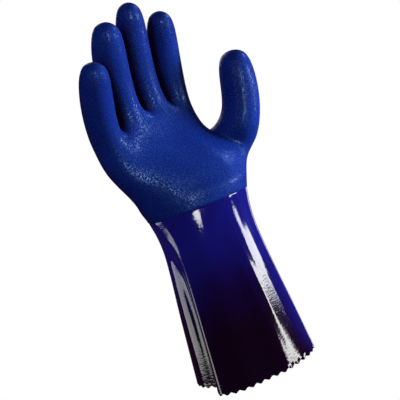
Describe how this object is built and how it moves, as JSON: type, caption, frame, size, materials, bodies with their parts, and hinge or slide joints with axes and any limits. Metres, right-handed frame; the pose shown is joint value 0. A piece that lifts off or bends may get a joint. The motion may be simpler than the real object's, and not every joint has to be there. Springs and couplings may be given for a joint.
{
  "type": "pvc coated work glove",
  "caption": "Long work glove for the right hand: a hollow dipped shell with a rough, slightly cupped hand part and a smooth flared sleeve that ends in a wavy cut hem.",
  "frame": {"origin": "centre of the arm opening, at the lowest points of the wavy hem", "axes": "+Z from the arm opening along the forearm to the fingers, the palm faces -Y, the thumb is on the +X side"},
  "size_m": [0.1576, 0.091, 0.3169],
  "materials": {
    "rough_pvc": "rough grainy soft plastic coat, blue",
    "smooth_pvc": "smooth glossy soft plastic coat, navy blue"
  },
  "bodies": {
    "root": {"hand_coat": "rough_pvc", "gauntlet": "smooth_pvc"}
  },
  "joints": []
}
